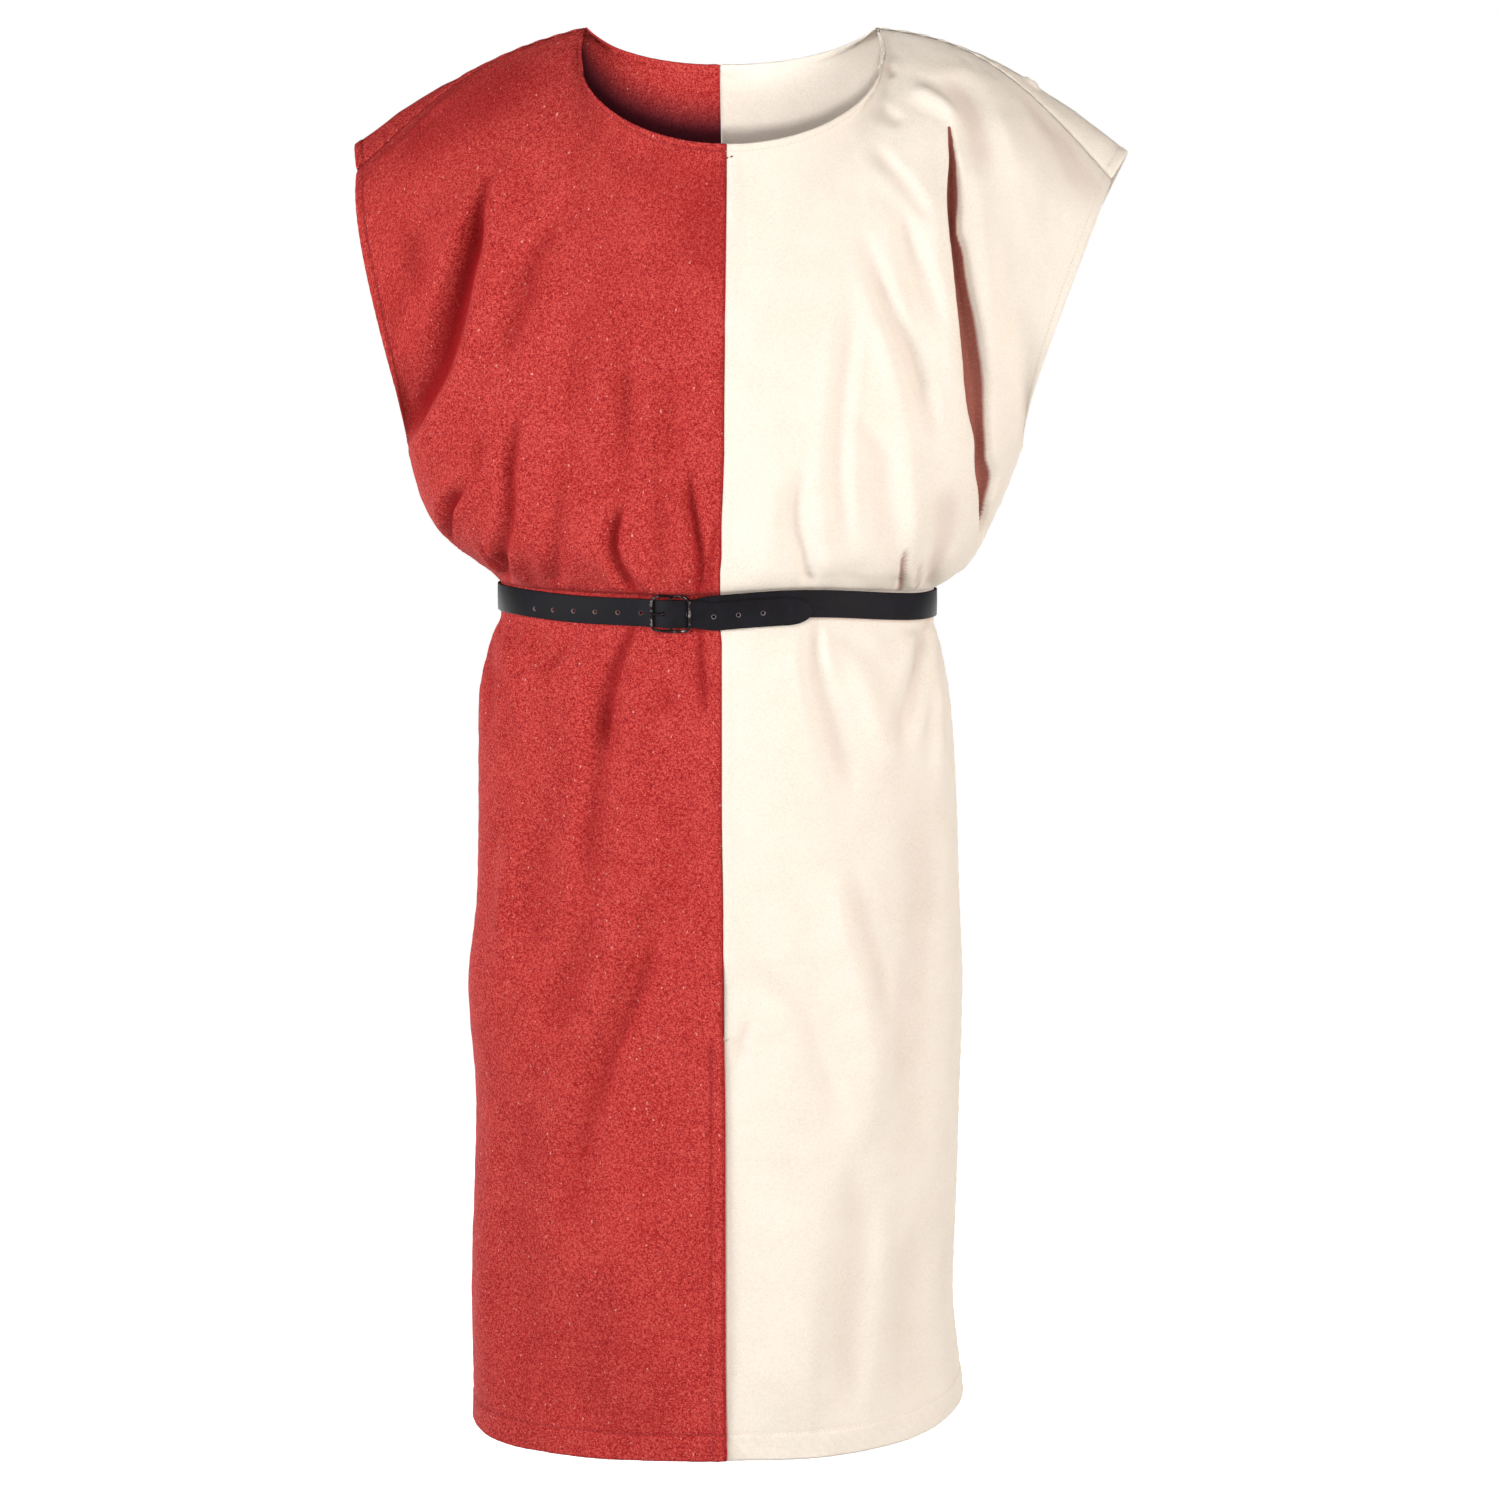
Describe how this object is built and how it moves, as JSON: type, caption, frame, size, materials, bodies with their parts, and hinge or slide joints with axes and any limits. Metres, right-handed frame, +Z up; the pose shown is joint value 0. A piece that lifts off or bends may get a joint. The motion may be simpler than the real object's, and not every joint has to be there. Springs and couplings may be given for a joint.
{
  "type": "belted tabard, worn and hollow",
  "caption": "Parti-coloured sleeveless tabard in red and cream cotton, worn and hollow, gathered at the waist by its own narrow buckled leather belt.",
  "frame": {"origin": "midway between the two high shoulder points, where the wearer's shoulders hold the garment", "axes": "+Z up along the wearer's height, -Y to the garment's front, +X to the wearer's left, which is the cream half"},
  "size_m": [0.5839, 0.2557, 1.0769],
  "materials": {
    "red_cotton": "matte heathered weave",
    "cream_cotton": "matte plain weave",
    "black_leather": "smooth, low sheen",
    "buckle_metal": "darkened, worn"
  },
  "bodies": {
    "root": {"front_right_red": "red_cotton", "front_left_cream": "cream_cotton", "back_right_red": "red_cotton", "back_left_cream": "cream_cotton", "belt_strap": "black_leather", "buckle_frame": "buckle_metal", "buckle_prong": "buckle_metal"}
  },
  "joints": []
}
